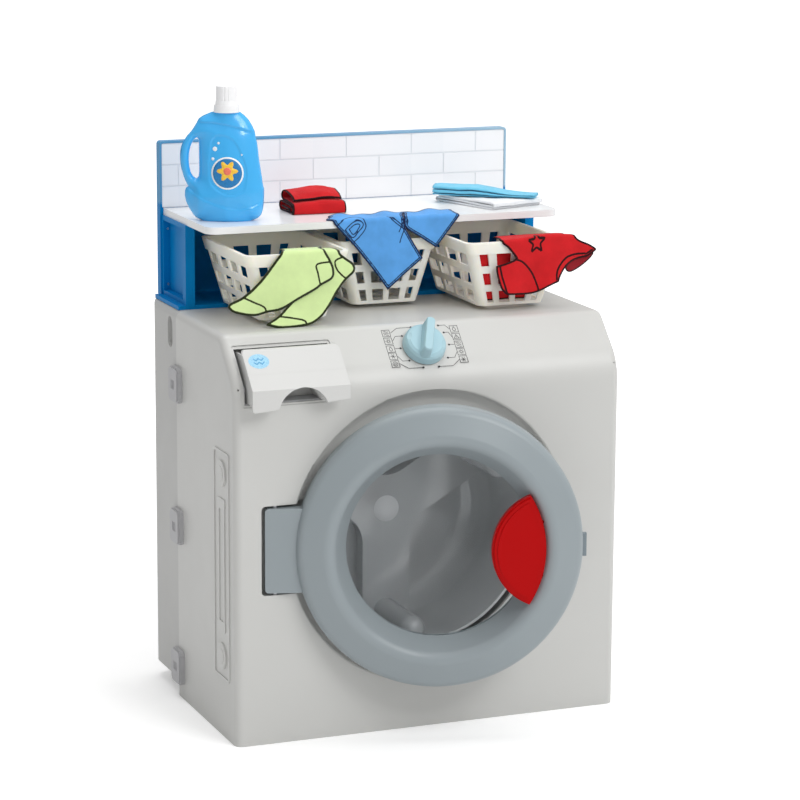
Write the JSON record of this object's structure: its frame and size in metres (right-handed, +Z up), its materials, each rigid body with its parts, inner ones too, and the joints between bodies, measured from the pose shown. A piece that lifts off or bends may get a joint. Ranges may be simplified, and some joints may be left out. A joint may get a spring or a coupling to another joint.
{
  "type": "toy washing machine",
  "caption": "Toy front-loading washing machine with hinged round door, turning drum and knob, sliding drawer, shelf hutch with pull-out baskets, a bottle and play clothes.",
  "frame": {"origin": "on the floor, on the machine's middle plane, 150 mm behind its front face", "axes": "+Z up, +X to the right seen from the front, +Y from the front towards the back, so the front faces -Y"},
  "size_m": [0.474, 0.4178, 0.7095],
  "materials": {
    "body": "satin moulded light grey plastic",
    "rear_body": "fine grained moulded light grey plastic",
    "clip_grey": "grey moulded plastic",
    "pad_dark": "dark soft pad",
    "tub_dark": "dark grey moulded plastic",
    "screw_steel": "zinc plated steel",
    "axle_steel": "plain steel",
    "drum_grey": "glossy mid grey plastic",
    "bush_white": "white slippery plastic",
    "hub_grey": "grey plastic cap",
    "ring_grey": "satin blue grey plastic",
    "window_clear": "clear moulded plastic window",
    "handle_red": "glossy red plastic",
    "catch_grey": "blue grey plastic",
    "knob_blue": "satin pale blue plastic",
    "sleeve_grey": "grey plastic",
    "drawer_white": "satin white plastic",
    "hutch_blue": "satin bright blue plastic",
    "tile_white": "glossy white plastic with tile joints",
    "shelf_white": "satin white plastic",
    "basket_cream": "matt cream plastic",
    "bottle_blue": "glossy sky blue blow moulding",
    "cap_white": "white plastic cap",
    "sock_cloth": "light green felt with printed dark outlines",
    "blue_cloth": "blue cloth with printed dark outlines",
    "red_cloth": "red cloth with printed dark outlines",
    "white_cloth": "white cloth",
    "sky_cloth": "turquoise blue cloth"
  },
  "bodies": {
    "cabinet": {"front_housing": "body", "rear_housing": "rear_body", "case_clips": "clip_grey", "corner_pads": "pad_dark", "drum_tub": "tub_dark", "tub_screws": "screw_steel", "drum_axle": "axle_steel", "axle_washer": "axle_steel", "axle_clip": "axle_steel", "catch_strike": "catch_grey", "hinge_pin": "axle_steel", "knob_bezel": "body", "drawer_sleeve": "sleeve_grey", "hutch_base": "hutch_blue", "hutch_side_left": "hutch_blue", "hutch_side_right": "hutch_blue", "hutch_back_panel": "hutch_blue", "tile_panel": "tile_white", "hutch_shelf": "shelf_white", "hutch_screws": "screw_steel"},
    "drum_body": {"drum": "drum_grey", "drum_bush": "bush_white", "drum_hub_cap": "hub_grey"},
    "door": {"door_ring": "ring_grey", "door_window": "window_clear", "window_retainer": "ring_grey", "retainer_screws": "screw_steel", "door_handle": "handle_red", "door_catch": "catch_grey"},
    "programme_knob": {"knob": "knob_blue", "knob_shaft": "bush_white", "knob_washer": "axle_steel"},
    "drawer": {"drawer_tray": "drawer_white", "drawer_front": "drawer_white"},
    "left_basket": {"basket_left": "basket_cream", "socks": "sock_cloth"},
    "middle_basket": {"basket_middle": "basket_cream", "blue_trousers": "blue_cloth"},
    "right_basket": {"basket_right": "basket_cream", "red_shirt": "red_cloth", "shirt_tail": "red_cloth"},
    "bottle_body": {"bottle": "bottle_blue", "bottle_cap": "cap_white"},
    "red_stack": {"folded_red_cloth": "red_cloth"},
    "white_stack": {"folded_white_cloth": "white_cloth"},
    "blue_stack": {"folded_blue_cloth": "sky_cloth"}
  },
  "joints": [
    {"name": "door_hinge", "type": "hinge", "parent": "cabinet", "child": "door", "pos_m": [-0.183, -0.145, 0.2205], "axis": [0, 0, -1], "range_deg": [-16, 89]},
    {"name": "drum_spin", "type": "hinge", "parent": "cabinet", "child": "drum_body", "pos_m": [0, -0.06, 0.2205], "axis": [0, 1, 0], "continuous": true},
    {"name": "knob_turn", "type": "hinge", "parent": "cabinet", "child": "programme_knob", "pos_m": [0, -0.12319, 0.43031], "axis": [0, -0.7071, 0.7071], "continuous": true},
    {"name": "drawer_slide", "type": "slide", "parent": "cabinet", "child": "drawer", "axis": [0, -1, 0], "range_m": [-0.02, 0.04]},
    {"name": "left_basket_slide", "type": "slide", "parent": "cabinet", "child": "left_basket", "axis": [0, -1, 0], "range_m": [-0.059, 0.03]},
    {"name": "middle_basket_slide", "type": "slide", "parent": "cabinet", "child": "middle_basket", "axis": [0, -1, 0], "range_m": [0, 0.06]},
    {"name": "right_basket_slide", "type": "slide", "parent": "cabinet", "child": "right_basket", "axis": [0, -1, 0], "range_m": [-0.059, 0.03]},
    {"name": "bottle_lift", "type": "slide", "parent": "cabinet", "child": "bottle_body", "axis": [0, 0, 1], "range_m": [0, 0.12]},
    {"name": "red_cloth_lift", "type": "slide", "parent": "cabinet", "child": "red_stack", "axis": [0, 0, 1], "range_m": [0, 0.08]},
    {"name": "white_cloth_lift", "type": "slide", "parent": "cabinet", "child": "white_stack", "axis": [0, 0, 1], "range_m": [0, 0.08]},
    {"name": "blue_cloth_lift", "type": "slide", "parent": "white_stack", "child": "blue_stack", "axis": [0, 0, 1], "range_m": [0, 0.05]}
  ]
}
